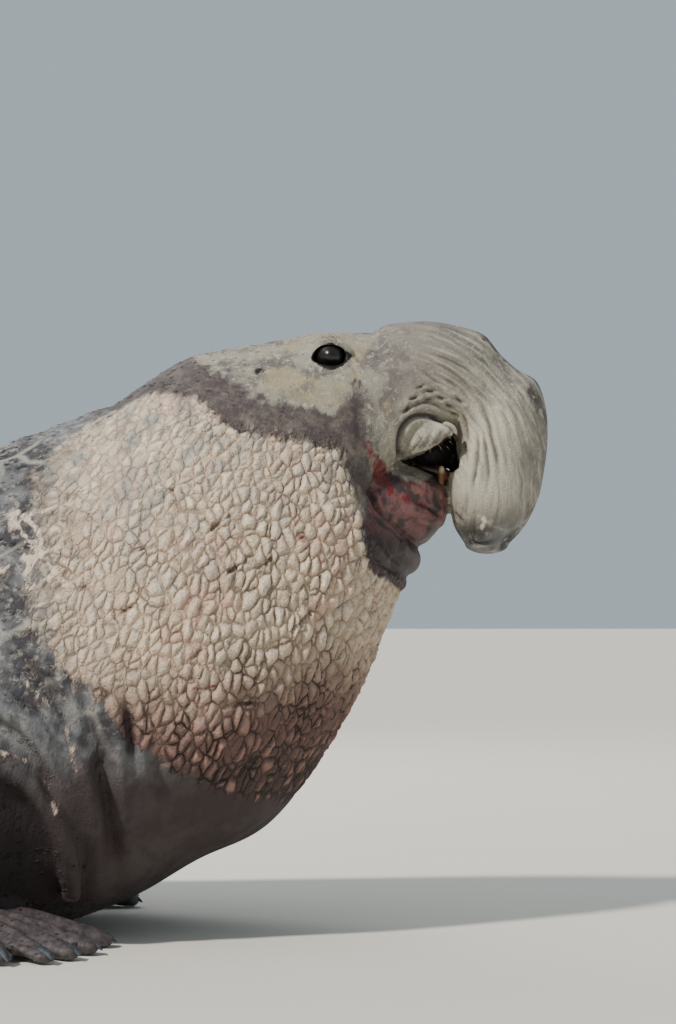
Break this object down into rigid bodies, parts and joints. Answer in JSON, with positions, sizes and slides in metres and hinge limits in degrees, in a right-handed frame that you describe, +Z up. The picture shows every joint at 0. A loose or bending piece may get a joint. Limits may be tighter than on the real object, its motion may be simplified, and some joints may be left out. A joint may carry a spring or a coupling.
{
  "type": "elephant seal",
  "caption": "Life-size bull elephant seal at rest on its belly, forequarters raised, drooping trunk-like nose and slightly open mouth.",
  "frame": {"origin": "on the floor, in the middle of the flat that the belly rests on", "axes": "+X from the tail to the head, +Z up, the animal's right side at -Y; the XZ plane is its plane of symmetry"},
  "size_m": [4.3772, 1.4742, 1.2705],
  "materials": {
    "flank_hide": "short worn fur, dark grey-brown",
    "shield_hide": "cobbled and cracked hide, sandy tan",
    "head_hide": "wrinkled hide, grey-tan",
    "flipper_hide": "bare hide, dark slate",
    "mouth": "wet, salmon pink",
    "tooth": "smooth ivory",
    "eye": "wet and dark"
  },
  "bodies": {
    "root": {"hips": "flank_hide", "loins": "flank_hide", "mid_trunk": "flank_hide", "shoulders": "flank_hide", "tail": "flank_hide", "neck_shield": "shield_hide", "head": "head_hide", "proboscis": "head_hide", "lower_jaw": "head_hide", "tongue": "mouth", "canine_right": "tooth", "canine_left": "tooth", "eye_right": "eye", "eye_left": "eye", "fore_flipper_right": "flipper_hide", "fore_flipper_left": "flipper_hide", "hind_flipper_right": "flipper_hide", "hind_flipper_left": "flipper_hide"}
  },
  "joints": []
}
